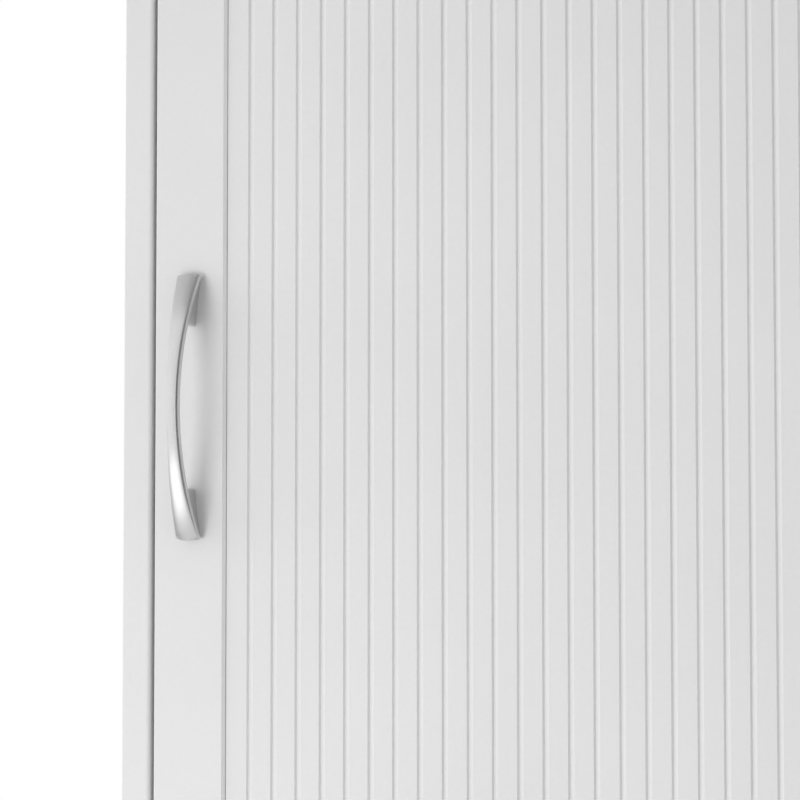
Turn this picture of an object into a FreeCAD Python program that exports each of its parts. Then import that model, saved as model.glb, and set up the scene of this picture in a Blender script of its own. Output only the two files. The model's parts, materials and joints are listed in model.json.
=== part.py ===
import FreeCAD
import Part
import math
import os

# A free-standing cabinet that stands over a toilet. Two tall side boards carry a cabinet with an
# inset grooved door on the left and an open bay on the right, with an open shelf under them.
# Millimetres. +X is to the right, +Y is to the wall and +Z is up. The origin is on the floor,
# under the middle of the whole object's box, handle included.

Vector = FreeCAD.Vector
RIGHT = Vector(1, 0, 0)
REAR = Vector(0, 1, 0)
UP = Vector(0, 0, 1)

# Case boards
case_width = 615.0
case_depth = 220.0
case_height = 1700.0
board = 14.3
top_board = 15.0
top_overhang = 10.0
top_round = 3.0
side_round = 2.0
edge_round = 0.8
back_board = 3.0
back_rebate = 6.0
back_play = 0.2

# Heights above the floor
open_shelf_height = 850.0
cabinet_floor_height = 1075.0
crossbar_height = 150.0
rail_height = 60.0

# Feet
foot_length = 45.0
arch_rise = 50.0
glide_height = 4.0
glide_inset = 0.5
glide_pin_radius = 1.2
glide_pin_length = 10.0

# Wall screw holes in the wall rail
wall_hole_spacing = 400.0
wall_hole_radius = 2.5

# Door
stile_width = 35.75
door_rail_width = 35.75
door_thickness = 16.0
sight_chamfer = 1.4
latch_gap = 1.9
door_gap = 3.0
panel_recess = 2.0
panel_raise = 3.8
panel_gap = 0.3
tongue_thickness = 6.0
panel_seat = 8.0
panel_play = 0.5
panel_fit = 0.05
groove_count = 25
groove_pitch = 12.0
groove_margin = 12.0
groove_width = 3.2
groove_depth = 1.2

# Handle
handle_length = 127.5
handle_reach = 26.0
handle_inset = 18.4
handle_tip_height = 4.4
handle_tip_depth = 3.4
handle_waist_depth = 5.5
handle_waist_width = 4.8
handle_end_width = 12.6
handle_waist_crown = 0.3
handle_end_crown = 0.9
handle_end_bow = 1.1
handle_flare_power = 2
handle_section_count = 13
handle_hole_spacing = 96.0
handle_hole_depth = 8.5
handle_foot_inner = 38.9
handle_foot_outer = 60.0
handle_foot_inner_width = 3.9
handle_foot_outer_width = 9.2
handle_foot_round = 0.9

# Handle screws, from inside the door
handle_screw_radius = 1.95
handle_screw_head_radius = 3.8
handle_screw_head_height = 2.4
handle_screw_clearance = 0.25
handle_screw_tip_gap = 0.5

# Hinges
hinge_height = 50.0
hinge_inset = 80.0
leaf_thickness = 1.2
leaf_play = 0.2
leaf_margin = 2.0
knuckle_count = 5
knuckle_radius = 2.6
knuckle_play = 0.2
knuckle_clearance = 0.4
hinge_pin_radius = 1.25
hinge_pin_clearance = 0.05
hinge_pin_head_radius = 2.2
hinge_pin_head_height = 1.0
hinge_screw_spread = 17.0
hinge_screw_near = 5.0
hinge_screw_far = 9.5
hinge_screw_length = 10.0

# Small countersunk screws of the hinges and the catch
screw_head_radius = 2.5
screw_radius = 1.45
screw_tip_length = 2.0
screw_tip_radius = 0.3
recess_width = 0.7
recess_length = 2.8
recess_depth = 0.7
screw_fit = 0.05

# Magnetic catch
catch_width = 18.0
catch_depth = 15.0
catch_height = 28.0
catch_base_height = 46.0
catch_base_thickness = 4.0
catch_wall = 2.0
catch_gap = 0.3
catch_fit = 0.05
pole_plate_thickness = 1.5
pole_plate_proud = 0.8
pole_span = 10.0
magnet_set_back = 0.5
magnet_depth = 11.5
catch_screw_length = 12.0
strike_thickness = 1.2
strike_width = 12.0
strike_height = 42.0
strike_screw_inset = 4.5
strike_screw_length = 10.0

# Loose shelves and their pins
shelf_play = 0.75
shelf_set_back = 14.0
open_bay_set_back = 4.0
shelf_back_play = 1.0
pin_pitch = 32.0
pin_row_start = 113.0
pin_front_inset = 50.0
pin_back_inset = 40.0
pin_hole_radius = 2.5
pin_hole_depth = 8.0
pin_clearance = 0.05
pin_shank_length = 5.5
pin_collar_radius = 3.5
pin_collar_thickness = 0.6
pin_seat_gap = 0.1
pin_tongue_length = 8.0
pin_tongue_width = 7.0
pin_tongue_thickness = 2.6

# Knock-down fittings
fix_inset = 40.0
rail_fix_inset = 15.0
cam_radius = 7.5
cam_set_back = 24.0
cam_clearance = 0.1
cam_floor = 0.2
cam_slot_width = 1.4
cam_slot_length = 8.0
cam_slot_depth = 1.5
bolt_radius = 2.9
bolt_thread_radius = 2.4
bolt_thread_length = 8.5
bolt_head_radius = 3.4
bolt_head_length = 3.0
bolt_neck_radius = 2.2
bolt_neck_length = 4.0
bolt_clearance = 0.1
cover_radius = 8.6
cover_thickness = 1.2
cover_round = 0.6
dowel_radius = 3.0
dowel_face_depth = 8.5
dowel_edge_depth = 19.0
dowel_chamfer = 0.6
dowel_clearance = 0.05
dowel_end_gap = 0.5

# Screws up into the partition
partition_screw_head_radius = 4.0
partition_screw_radius = 2.2
partition_screw_bite = 28.0

# Nails of the back panel
nail_head_radius = 2.0
nail_head_height = 0.8
nail_radius = 0.7
nail_bite = 11.0
nail_fit = 0.05
nail_edge = 40.0
side_nail_count = 5
floor_nail_count = 6
partition_nail_count = 4

# Places that follow from those sizes
front = -(case_depth + handle_reach) / 2 + handle_reach
back = front + case_depth
middle = (front + back) / 2
inner_right = case_width / 2 - board
inner_left = -inner_right
top_under = case_height - top_board
floor_under = cabinet_floor_height - board
shelf_under = open_shelf_height - board
back_face = back - back_board
front_fix = front + fix_inset
back_fix = back - fix_inset

hinge_gap = 2 * leaf_thickness + leaf_play
door_width = 2 * stile_width + 2 * groove_margin + (groove_count - 1) * groove_pitch
door_left = inner_left + latch_gap
door_right = door_left + door_width
door_bottom = cabinet_floor_height + door_gap
door_top = top_under - door_gap
door_back = front + door_thickness
door_middle = (door_bottom + door_top) / 2
panel_front = front + panel_recess
tongue_front = panel_front + panel_raise
panel_back = tongue_front + tongue_thickness
sight_left = door_left + stile_width
sight_right = door_right - stile_width
sight_bottom = door_bottom + door_rail_width
sight_top = door_top - door_rail_width
partition_left = door_right + hinge_gap
partition_right = partition_left + board
partition_middle = (partition_left + partition_right) / 2

hinge_x = door_right + hinge_gap / 2
hinge_y = front - math.sqrt((knuckle_radius + knuckle_clearance) ** 2 - (hinge_gap / 2) ** 2)
handle_x = door_left + handle_inset
pin_seat_rise = pin_collar_radius + pin_seat_gap
last_pin_step = round((top_under - cabinet_floor_height - 2 * pin_row_start) / pin_pitch)
lower_shelf_step = last_pin_step // 6
upper_shelf_step = last_pin_step - last_pin_step // 3

boards = {}
groups = {}
drillings = {}


def box(x_range, y_range, z_range):
    """A block between two values on each axis."""
    corner = Vector(x_range[0], y_range[0], z_range[0])
    return Part.makeBox(x_range[1] - x_range[0], y_range[1] - y_range[0], z_range[1] - z_range[0], corner)


def around(centre, size):
    """The two ends of a length laid out about its centre."""
    return (centre - size / 2, centre + size / 2)


def prism(points, along):
    """A straight-sided outline pushed along a vector."""
    return Part.Face(Part.makePolygon(points + points[:1])).extrude(along)


def turned(profile):
    """A solid of revolution about +Z from (radius, height) pairs, which starts and ends on the axis."""
    points = [Vector(radius, 0, height) for radius, height in profile]
    return Part.Face(Part.makePolygon(points + points[:1])).revolve(Vector(0, 0, 0), UP, 360)


def rod(start, direction, radius, length):
    """A round bar or a round hole's tool."""
    return Part.makeCylinder(radius, length, start, direction)


def placed(shape, point, direction):
    """A shape that was made along +Z from the origin, set at a point along a direction."""
    copy = shape.copy()
    copy.Placement = FreeCAD.Placement(point, FreeCAD.Rotation(UP, direction))
    return copy


def rounded(shape, radius, is_wanted):
    """Rounds the edges whose bounding box passes the test."""
    return shape.makeFillet(radius, [edge for edge in shape.Edges if is_wanted(edge.BoundBox)])


def on_plane(low, high, value):
    """Whether a stretch lies on a plane."""
    return abs(low - value) < 0.01 and abs(high - value) < 0.01


def front_edge(bounds):
    """Whether an edge lies on the front plane of the case."""
    return on_plane(bounds.YMin, bounds.YMax, front)


def long_edge_at(y):
    """A test for the long level edges at one depth."""
    return lambda bounds: on_plane(bounds.YMin, bounds.YMax, y) and bounds.XLength > board


def drill(name, tool):
    """Notes a hole or a cut for a board."""
    drillings.setdefault(name, []).append(tool)


def add(group, solid):
    """Puts a fastener in its group."""
    groups.setdefault(group, []).append(solid)


def spread(first, last, count):
    """Evenly spaced places from the first to the last."""
    return [first + (last - first) * index / (count - 1) for index in range(count)]


def side_board(outer, inner):
    """A tall side board with a foot arch and a rebate for the back panel."""
    arch_front = front + foot_length
    arch_back = back - foot_length
    arch_top = glide_height + arch_rise
    turn = arch_rise * math.sqrt(0.5)
    corners = [
        Vector(outer, arch_front, glide_height),
        Vector(outer, front, glide_height),
        Vector(outer, front, top_under),
        Vector(outer, back, top_under),
        Vector(outer, back, glide_height),
        Vector(outer, arch_back, glide_height),
    ]
    front_shoulder = Vector(outer, arch_front + arch_rise, arch_top)
    back_shoulder = Vector(outer, arch_back - arch_rise, arch_top)
    front_turn = Vector(outer, arch_front + arch_rise - turn, glide_height + turn)
    back_turn = Vector(outer, arch_back - arch_rise + turn, glide_height + turn)
    edges = [Part.makeLine(start, end) for start, end in zip(corners, corners[1:])]
    edges.append(Part.Arc(corners[-1], back_turn, back_shoulder).toShape())
    edges.append(Part.makeLine(back_shoulder, front_shoulder))
    edges.append(Part.Arc(front_shoulder, front_turn, corners[0]).toShape())
    blank = Part.Face(Part.Wire(edges)).extrude(Vector(inner - outer, 0, 0))
    blank = rounded(blank, side_round, lambda b: front_edge(b) and b.ZLength > foot_length)
    rebate_end = inner + math.copysign(back_rebate, outer)
    rebate = box(sorted((inner, rebate_end)), (back_face, back), (floor_under, top_under))
    return blank.cut(rebate)


def make_case():
    """The boards of the case."""
    boards["left_side_board"] = side_board(-case_width / 2, inner_left)
    boards["right_side_board"] = side_board(case_width / 2, inner_right)

    half_top = case_width / 2 + top_overhang
    top = box((-half_top, half_top), (front - top_overhang, back), (top_under, case_height))
    boards["top_board"] = rounded(top, top_round, lambda b: not on_plane(b.YMin, b.YMax, back))

    across = (inner_left, inner_right)
    floor = box(across, (front, back_face), (floor_under, cabinet_floor_height))
    boards["cabinet_floor"] = rounded(floor, edge_round, long_edge_at(front))
    shelf = box(across, (front, back), (shelf_under, open_shelf_height))
    boards["open_shelf"] = rounded(shelf, edge_round, long_edge_at(front))

    partition = box((partition_left, partition_right), (front, back_face), (cabinet_floor_height, top_under))
    boards["partition"] = rounded(partition, edge_round, lambda b: front_edge(b) and b.ZLength > board)

    back_edge = inner_right + back_rebate - back_play
    boards["back_panel"] = box((-back_edge, back_edge), (back_face, back), (floor_under, top_under))

    rails = {
        "wall_rail": floor_under - rail_height,
        "shelf_rear_rail": shelf_under - rail_height,
        "lower_crossbar": crossbar_height,
    }
    for name, bottom in rails.items():
        rail = box(across, (back - board, back), (bottom, bottom + rail_height))
        boards[name] = rounded(rail, edge_round, long_edge_at(back - board))
        fix_rail(name, bottom)
    for hole_x in around(0, wall_hole_spacing):
        start = Vector(hole_x, back, floor_under - rail_height / 2)
        drill("wall_rail", rod(start, -REAR, wall_hole_radius, board))


def cam_joint(edge_board, face_board, point, into, cam_side):
    """A cam lock in one board that draws a bolt in the other, which meets its edge at the point."""
    pocket_depth = board / 2 + bolt_head_radius + bolt_clearance
    centre = point + into * cam_set_back
    mouth = centre + cam_side * (board / 2)
    drill(edge_board, rod(mouth, -cam_side, cam_radius + cam_clearance, pocket_depth))
    drill(edge_board, rod(point, into, bolt_radius + bolt_clearance, cam_set_back))
    thread_depth = bolt_thread_length + bolt_clearance
    drill(face_board, rod(point, -into, bolt_thread_radius + bolt_clearance, thread_depth))

    cam = rod(mouth, -cam_side, cam_radius, pocket_depth - cam_floor)
    channel_length = cam_set_back + bolt_head_length / 2 + bolt_clearance
    channel = rod(point, into, bolt_head_radius + bolt_clearance, channel_length)
    slot = Part.makeBox(cam_slot_length, cam_slot_width, 2 * cam_slot_depth)
    slot.translate(Vector(-cam_slot_length / 2, -cam_slot_width / 2, -cam_slot_depth))
    add("cam_locks", cam.cut([channel, placed(slot, mouth, cam_side)]))

    head_start = cam_set_back - bolt_head_length / 2
    neck_start = head_start - bolt_neck_length
    bolt = turned([
        (0, -bolt_thread_length),
        (bolt_thread_radius, -bolt_thread_length),
        (bolt_thread_radius, 0),
        (bolt_radius, 0),
        (bolt_radius, neck_start),
        (bolt_neck_radius, neck_start),
        (bolt_neck_radius, head_start),
        (bolt_head_radius, head_start),
        (bolt_head_radius, head_start + bolt_head_length),
        (0, head_start + bolt_head_length),
    ])
    add("cam_bolts", placed(bolt, point, into))
    return mouth


def cam_cover(mouth, direction):
    """A thin cover pressed over a cam that shows inside the cabinet."""
    cover = turned([
        (0, 0),
        (cover_radius, 0),
        (cover_radius, cover_thickness - cover_round),
        (cover_radius - cover_round, cover_thickness),
        (0, cover_thickness),
    ])
    add("cam_covers", placed(cover, mouth, direction))


def dowel_joint(edge_board, face_board, point, into):
    """A dowel from the edge of one board into the face of another."""
    length = dowel_face_depth + dowel_edge_depth
    dowel = turned([
        (0, -dowel_face_depth),
        (dowel_radius - dowel_chamfer, -dowel_face_depth),
        (dowel_radius, -dowel_face_depth + dowel_chamfer),
        (dowel_radius, length - dowel_face_depth - dowel_chamfer),
        (dowel_radius - dowel_chamfer, length - dowel_face_depth),
        (0, length - dowel_face_depth),
    ])
    add("dowels", placed(dowel, point, into))
    hole_radius = dowel_radius + dowel_clearance
    drill(edge_board, rod(point, into, hole_radius, dowel_edge_depth + dowel_end_gap))
    drill(face_board, rod(point, -into, hole_radius, dowel_face_depth + dowel_end_gap))


def fix_rail(name, bottom):
    """Joins both ends of a rail to the side boards."""
    rail_middle = back - board / 2
    for side, inner, into in sides():
        cam_point = Vector(inner, rail_middle, bottom + rail_height - rail_fix_inset)
        cam_joint(name, side, cam_point, into, REAR)
        dowel_joint(name, side, Vector(inner, rail_middle, bottom + rail_fix_inset), into)


def sides():
    """Each side board, its inner face and the way from it into the case."""
    return [("left_side_board", inner_left, RIGHT), ("right_side_board", inner_right, -RIGHT)]


def fix_case():
    """The fittings between the boards of the case."""
    for side, inner, into in sides():
        for name, top in (("cabinet_floor", cabinet_floor_height), ("open_shelf", open_shelf_height)):
            for y in (front_fix, back_fix):
                cam_joint(name, side, Vector(inner, y, top - board / 2), into, -UP)
            dowel_joint(name, side, Vector(inner, middle, top - board / 2), into)
        board_middle = inner - into.x * board / 2
        for y in (front_fix, back_fix):
            mouth = cam_joint(side, "top_board", Vector(board_middle, y, top_under), -UP, into)
            cam_cover(mouth, into)
        dowel_joint(side, "top_board", Vector(board_middle, middle, top_under), -UP)

    for y in (front_fix, back_fix):
        mouth = cam_joint("partition", "top_board", Vector(partition_middle, y, top_under), -UP, -RIGHT)
        cam_cover(mouth, -RIGHT)
        partition_screw(y)
    dowel_joint("partition", "top_board", Vector(partition_middle, middle, top_under), -UP)
    dowel_joint("partition", "cabinet_floor", Vector(partition_middle, middle, cabinet_floor_height), UP)


def countersunk_screw(head_radius, radius, length):
    """A screw along +Z with its flat head at the origin and a cross recess in it."""
    screw = turned([
        (0, 0),
        (head_radius, 0),
        (radius, head_radius - radius),
        (radius, length - screw_tip_length),
        (screw_tip_radius, length),
        (0, length),
    ])
    return screw.cut(cross_recess())


def cross_recess():
    """The two arms of a cross recess at the origin."""
    depth = (-recess_depth, recess_depth)
    arm = box(around(0, recess_length), around(0, recess_width), depth)
    other_arm = box(around(0, recess_width), around(0, recess_length), depth)
    return [arm, other_arm]


def countersunk_hole(head_radius, radius, length):
    """The tool for the hole of such a screw."""
    return turned([
        (0, 0),
        (head_radius + screw_fit, 0),
        (radius + screw_fit, head_radius - radius),
        (radius + screw_fit, length + screw_fit),
        (0, length + screw_fit),
    ])


def fasten(group, point, direction, size, names):
    """Adds a countersunk screw of (head radius, radius, length) and drills what it goes through."""
    add(group, placed(countersunk_screw(*size), point, direction))
    for name in names:
        drill(name, placed(countersunk_hole(*size), point, direction))


def partition_screw(y):
    """A screw from under the cabinet floor into the foot of the partition."""
    size = (partition_screw_head_radius, partition_screw_radius, board + partition_screw_bite)
    point = Vector(partition_middle, y, floor_under)
    fasten("partition_screws", point, UP, size, ("cabinet_floor", "partition"))


def nail(x, z, board_name):
    """A nail through the back panel into the board in front of it, with its head flush."""
    length = back_board + nail_bite
    solid = turned([
        (0, 0),
        (nail_head_radius, 0),
        (nail_head_radius, nail_head_height),
        (nail_radius, nail_head_height),
        (nail_radius, length),
        (0, length),
    ])
    hole = turned([
        (0, 0),
        (nail_head_radius + nail_fit, 0),
        (nail_head_radius + nail_fit, nail_head_height),
        (nail_radius + nail_fit, nail_head_height),
        (nail_radius + nail_fit, length + nail_fit),
        (0, length + nail_fit),
    ])
    point = Vector(x, back, z)
    add("back_panel_nails", placed(solid, point, -REAR))
    for name in ("back_panel", board_name):
        drill(name, placed(hole, point, -REAR))


def nail_back():
    """The nails along the sides, the cabinet floor and the partition."""
    for side, inner, into in sides():
        nail_x = inner - into.x * back_rebate / 2
        for z in spread(floor_under + nail_edge, top_under - nail_edge, side_nail_count):
            nail(nail_x, z, side)
    for x in spread(inner_left + nail_edge, inner_right - nail_edge, floor_nail_count):
        nail(x, floor_under + board / 2, "cabinet_floor")
    for z in spread(cabinet_floor_height + nail_edge, top_under - nail_edge, partition_nail_count):
        nail(partition_middle, z, "partition")


def make_glides():
    """A glide under each foot."""
    glide_radius = board / 2 - glide_inset
    glide = turned([
        (0, 0),
        (glide_radius - glide_inset, 0),
        (glide_radius, glide_inset),
        (glide_radius, glide_height),
        (glide_pin_radius, glide_height),
        (glide_pin_radius, glide_height + glide_pin_length),
        (0, glide_height + glide_pin_length),
    ])
    for side, inner, into in sides():
        for y in (front + foot_length / 2, back - foot_length / 2):
            point = Vector(inner - into.x * board / 2, y, 0)
            add("foot_glides", placed(glide, point, UP))
            hole_start = point + UP * glide_height
            drill(side, rod(hole_start, UP, glide_pin_radius + screw_fit, glide_pin_length + screw_fit))


def pin_height(step):
    """The height of a pin hole of the rows."""
    return cabinet_floor_height + pin_row_start + step * pin_pitch


def shelf_pin(wall, into, y, step):
    """A shelf pin in a hole of a wall, with a flat tongue under the shelf."""
    axis_point = Vector(wall, y, pin_height(step))
    shank = rod(axis_point, -into, pin_hole_radius - pin_clearance, pin_shank_length)
    collar = rod(axis_point, into, pin_collar_radius, pin_collar_thickness)
    tongue_end = wall + into.x * pin_tongue_length
    tongue_top = axis_point.z + pin_seat_rise
    tongue_range = (tongue_top - pin_tongue_thickness, tongue_top)
    tongue = box(sorted((wall, tongue_end)), around(y, pin_tongue_width), tongue_range)
    add("shelf_pins", shank.fuse([collar, tongue]).removeSplitter())


def make_shelves():
    """The loose shelves of both bays, on pins in rows of holes."""
    rows = (front + pin_front_inset, back - pin_back_inset)
    for y in rows:
        for step in range(last_pin_step + 1):
            for side, inner, into in sides():
                drill(side, rod(Vector(inner, y, pin_height(step)), -into, pin_hole_radius, pin_hole_depth))
            partition_point = Vector(partition_left, y, pin_height(step))
            drill("partition", rod(partition_point, RIGHT, pin_hole_radius, board))

    bays = {
        "door_bay": (inner_left, partition_left, door_back + shelf_set_back),
        "open_bay": (partition_right, inner_right, front + open_bay_set_back),
    }
    for bay, (left, right, shelf_front) in bays.items():
        for level, step in (("lower", lower_shelf_step), ("upper", upper_shelf_step)):
            across = (left + shelf_play, right - shelf_play)
            bottom = pin_height(step) + pin_seat_rise
            shelf = box(across, (shelf_front, back_face - shelf_back_play), (bottom, bottom + board))
            name = bay + "_" + level + "_shelf"
            boards[name] = rounded(shelf, edge_round, long_edge_at(shelf_front))
            for y in rows:
                shelf_pin(left, RIGHT, y, step)
                shelf_pin(right, -RIGHT, y, step)


def rear_sight_edge(bounds):
    """Whether an edge goes round the panel on the back of the door."""
    inside = bounds.XMin > door_left + edge_round and bounds.XMax < door_right - edge_round
    level = bounds.ZMin > door_bottom + edge_round and bounds.ZMax < door_top - edge_round
    return inside and level and on_plane(bounds.YMin, bounds.YMax, door_back)


def sight_outline(margin, y):
    """The outline of the opening in the door's frame, widened by a margin."""
    corners = [
        Vector(sight_left - margin, y, sight_bottom - margin),
        Vector(sight_right + margin, y, sight_bottom - margin),
        Vector(sight_right + margin, y, sight_top + margin),
        Vector(sight_left - margin, y, sight_top + margin),
    ]
    return Part.makePolygon(corners + corners[:1])


def sight_bevel():
    """The tool of the chamfer that goes round the panel on the front of the frame."""
    return Part.makeLoft([sight_outline(sight_chamfer, front), sight_outline(0, front + sight_chamfer)], True, True)


def make_door_frame():
    """Stiles and rails with eased edges, a chamfer round the panel, a groove for it and stub tongues."""
    outer = box((door_left, door_right), (front, door_back), (door_bottom, door_top))
    opening = box((sight_left, sight_right), (front, door_back), (sight_bottom, sight_top))
    faces = (front, door_back)
    outer = rounded(outer, edge_round, lambda b: any(on_plane(b.YMin, b.YMax, face) for face in faces))
    frame = rounded(outer.cut(opening), edge_round, rear_sight_edge).cut(sight_bevel())
    seat = (tongue_front - panel_fit, panel_back + panel_fit)
    tongue = (tongue_front, panel_back)
    full_height = (door_bottom, door_top)
    full_depth = (front, door_back)
    stiles = {
        "door_latch_stile": ((door_left, sight_left), (sight_left - panel_seat, sight_left)),
        "door_hinge_stile": ((sight_right, door_right), (sight_right, sight_right + panel_seat)),
    }
    for name, (across, groove) in stiles.items():
        stile = frame.common(box(across, full_depth, full_height))
        boards[name] = stile.cut(box(groove, seat, full_height))

    reach = panel_seat - panel_play
    rails = {
        "door_bottom_rail": (door_bottom, sight_bottom, sight_bottom - panel_seat),
        "door_top_rail": (sight_top, door_top, sight_top + panel_seat),
    }
    for name, (bottom, top, groove_bottom) in rails.items():
        rail = frame.common(box((sight_left, sight_right), full_depth, (bottom, top)))
        inner_edge = sight_bottom if top == sight_bottom else sight_top
        groove = sorted((inner_edge, groove_bottom))
        rail = rail.cut(box((sight_left, sight_right), seat, groove))
        tongue_height = sorted((groove_bottom, door_bottom if top == sight_bottom else door_top))
        left_tongue = box((sight_left - reach, sight_left), tongue, tongue_height)
        right_tongue = box((sight_right, sight_right + reach), tongue, tongue_height)
        boards[name] = rail.fuse([left_tongue, right_tongue])


def make_door_panel():
    """The panel: a raised field with a row of round-bottomed grooves, on a tongue that sits in the frame."""
    reach = panel_seat - panel_play
    left = sight_left + panel_gap
    right = sight_right - panel_gap
    bottom = sight_bottom + panel_gap
    top = sight_top - panel_gap
    edges = []
    last = Vector(left, panel_front, bottom)
    for index in range(groove_count):
        centre = sight_left + groove_margin + index * groove_pitch
        start = Vector(centre - groove_width / 2, panel_front, bottom)
        deepest = Vector(centre, panel_front + groove_depth, bottom)
        end = Vector(centre + groove_width / 2, panel_front, bottom)
        edges.append(Part.makeLine(last, start))
        edges.append(Part.Arc(start, deepest, end).toShape())
        last = end
    corners = [
        last,
        Vector(right, panel_front, bottom),
        Vector(right, tongue_front, bottom),
        Vector(left, tongue_front, bottom),
        Vector(left, panel_front, bottom),
    ]
    edges += [Part.makeLine(start, end) for start, end in zip(corners, corners[1:])]
    field = Part.Face(Part.Wire(edges)).extrude(UP * (top - bottom))
    across = (sight_left - reach, sight_right + reach)
    tongue = box(across, (tongue_front, panel_back), (sight_bottom - reach, sight_top + reach))
    boards["door_panel"] = field.fuse(tongue).removeSplitter()


def bow_height(along, peak, tip):
    """The height over the door of an arc with a given peak at mid-length and a given height at the tips."""
    rise = peak - tip
    half = handle_length / 2
    radius = (half ** 2 + rise ** 2) / (2 * rise)
    return peak - radius + math.sqrt(radius ** 2 - along ** 2)


def handle_point(across, height, along):
    """A point given across the handle, in front of the door and along the handle."""
    return Vector(handle_x + across, front - height, door_middle + along)


def handle_section(along):
    """A level section of the bow: flat inside and at the sides, crowned in front."""
    flare = abs(2 * along / handle_length) ** handle_flare_power
    half_width = (handle_waist_width + (handle_end_width - handle_waist_width) * flare) / 2
    crown = handle_waist_crown + (handle_end_crown - handle_waist_crown) * flare
    outer = bow_height(along, handle_reach, handle_tip_height)
    inner = bow_height(along, handle_reach - handle_waist_depth, handle_tip_height - handle_tip_depth)
    inner_left_corner = handle_point(-half_width, inner, along)
    inner_right_corner = handle_point(half_width, inner, along)
    outer_right_corner = handle_point(half_width, outer - crown, along)
    outer_left_corner = handle_point(-half_width, outer - crown, along)
    crest = handle_point(0, outer, along)
    return Part.Wire([
        Part.makeLine(inner_left_corner, inner_right_corner),
        Part.makeLine(inner_right_corner, outer_right_corner),
        Part.Arc(outer_right_corner, crest, outer_left_corner).toShape(),
        Part.makeLine(outer_left_corner, inner_left_corner),
    ])


def handle_end_trim():
    """The space between the bowed ends of the handle."""
    half = handle_length / 2
    wide = handle_end_width / 2
    corner = half - handle_end_bow
    top_left = handle_point(-wide, 0, corner)
    top_right = handle_point(wide, 0, corner)
    bottom_right = handle_point(wide, 0, -corner)
    bottom_left = handle_point(-wide, 0, -corner)
    outline = Part.Wire([
        Part.Arc(top_left, handle_point(0, 0, half), top_right).toShape(),
        Part.makeLine(top_right, bottom_right),
        Part.Arc(bottom_right, handle_point(0, 0, -half), bottom_left).toShape(),
        Part.makeLine(bottom_left, top_left),
    ])
    return Part.Face(outline).extrude(-REAR * handle_reach)


def handle_foot(end, under_bow):
    """A foot that stands on the door and widens towards the tip of the handle."""
    outline = [
        handle_point(-handle_foot_inner_width / 2, 0, end * handle_foot_inner),
        handle_point(handle_foot_inner_width / 2, 0, end * handle_foot_inner),
        handle_point(handle_foot_outer_width / 2, 0, end * handle_foot_outer),
        handle_point(-handle_foot_outer_width / 2, 0, end * handle_foot_outer),
    ]
    inner_end = door_middle + end * handle_foot_inner
    foot = rounded(
        prism(outline, -REAR * handle_reach),
        handle_foot_round,
        lambda b: on_plane(b.ZMin, b.ZMax, inner_end) and b.YLength > handle_foot_round,
    )
    return foot.common(under_bow)


def make_handle():
    """The bowed handle, one casting with two feet, and its screws."""
    half = handle_length / 2
    stations = spread(-half, half, handle_section_count)
    bow = Part.makeLoft([handle_section(along) for along in stations], True)
    bow = bow.common(handle_end_trim())

    peak = handle_reach - handle_waist_depth / 2
    tip = handle_tip_height - handle_tip_depth / 2
    tips = [handle_point(-handle_end_width / 2, tip, along) for along in (-half, half)]
    crest = handle_point(-handle_end_width / 2, peak, 0)
    seats = [handle_point(-handle_end_width / 2, 0, along) for along in (half, -half)]
    side_outline = Part.Wire([
        Part.Arc(tips[0], crest, tips[1]).toShape(),
        Part.makeLine(tips[1], seats[0]),
        Part.makeLine(seats[0], seats[1]),
        Part.makeLine(seats[1], tips[0]),
    ])
    under_bow = Part.Face(side_outline).extrude(RIGHT * handle_end_width)
    boards["handle"] = bow.fuse([handle_foot(1, under_bow), handle_foot(-1, under_bow)])

    screw_length = door_thickness + handle_hole_depth - handle_screw_tip_gap
    screw = turned([
        (0, -handle_screw_head_height),
        (handle_screw_head_radius, -handle_screw_head_height),
        (handle_screw_head_radius, 0),
        (handle_screw_radius, 0),
        (handle_screw_radius, screw_length),
        (0, screw_length),
    ])
    recess = [arm.translated(-UP * handle_screw_head_height) for arm in cross_recess()]
    screw = screw.cut(recess)
    for along in around(0, handle_hole_spacing):
        seat = Vector(handle_x, door_back, door_middle + along)
        add("handle_screws", placed(screw, seat, -REAR))
        hole_radius = handle_screw_radius + handle_screw_clearance
        drill("door_latch_stile", rod(seat, -REAR, hole_radius, door_thickness))
        foot = handle_point(0, 0, along)
        drill("handle", rod(foot, -REAR, handle_screw_radius + screw_fit, handle_hole_depth))


def knuckle(index, bottom):
    """The height range of one knuckle of a hinge."""
    length = (hinge_height - (knuckle_count - 1) * knuckle_play) / knuckle_count
    start = bottom + index * (length + knuckle_play)
    return (start, start + length)


def hinge_leaf(across, bottom, indices):
    """A leaf with its share of the knuckles, bored for the pin."""
    leaf_front = hinge_y + knuckle_radius + knuckle_play
    leaf_back = door_back - leaf_margin
    leaf = box(across, (leaf_front, leaf_back), (bottom, bottom + hinge_height))
    for index in indices:
        low, high = knuckle(index, bottom)
        barrel = rod(Vector(hinge_x, hinge_y, low), UP, knuckle_radius, high - low)
        tab = box(across, (hinge_y, leaf_front), (low, high))
        leaf = leaf.fuse([barrel, tab])
    bore = rod(Vector(hinge_x, hinge_y, bottom), UP, hinge_pin_radius + hinge_pin_clearance, hinge_height)
    return leaf.cut(bore).removeSplitter()


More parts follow.
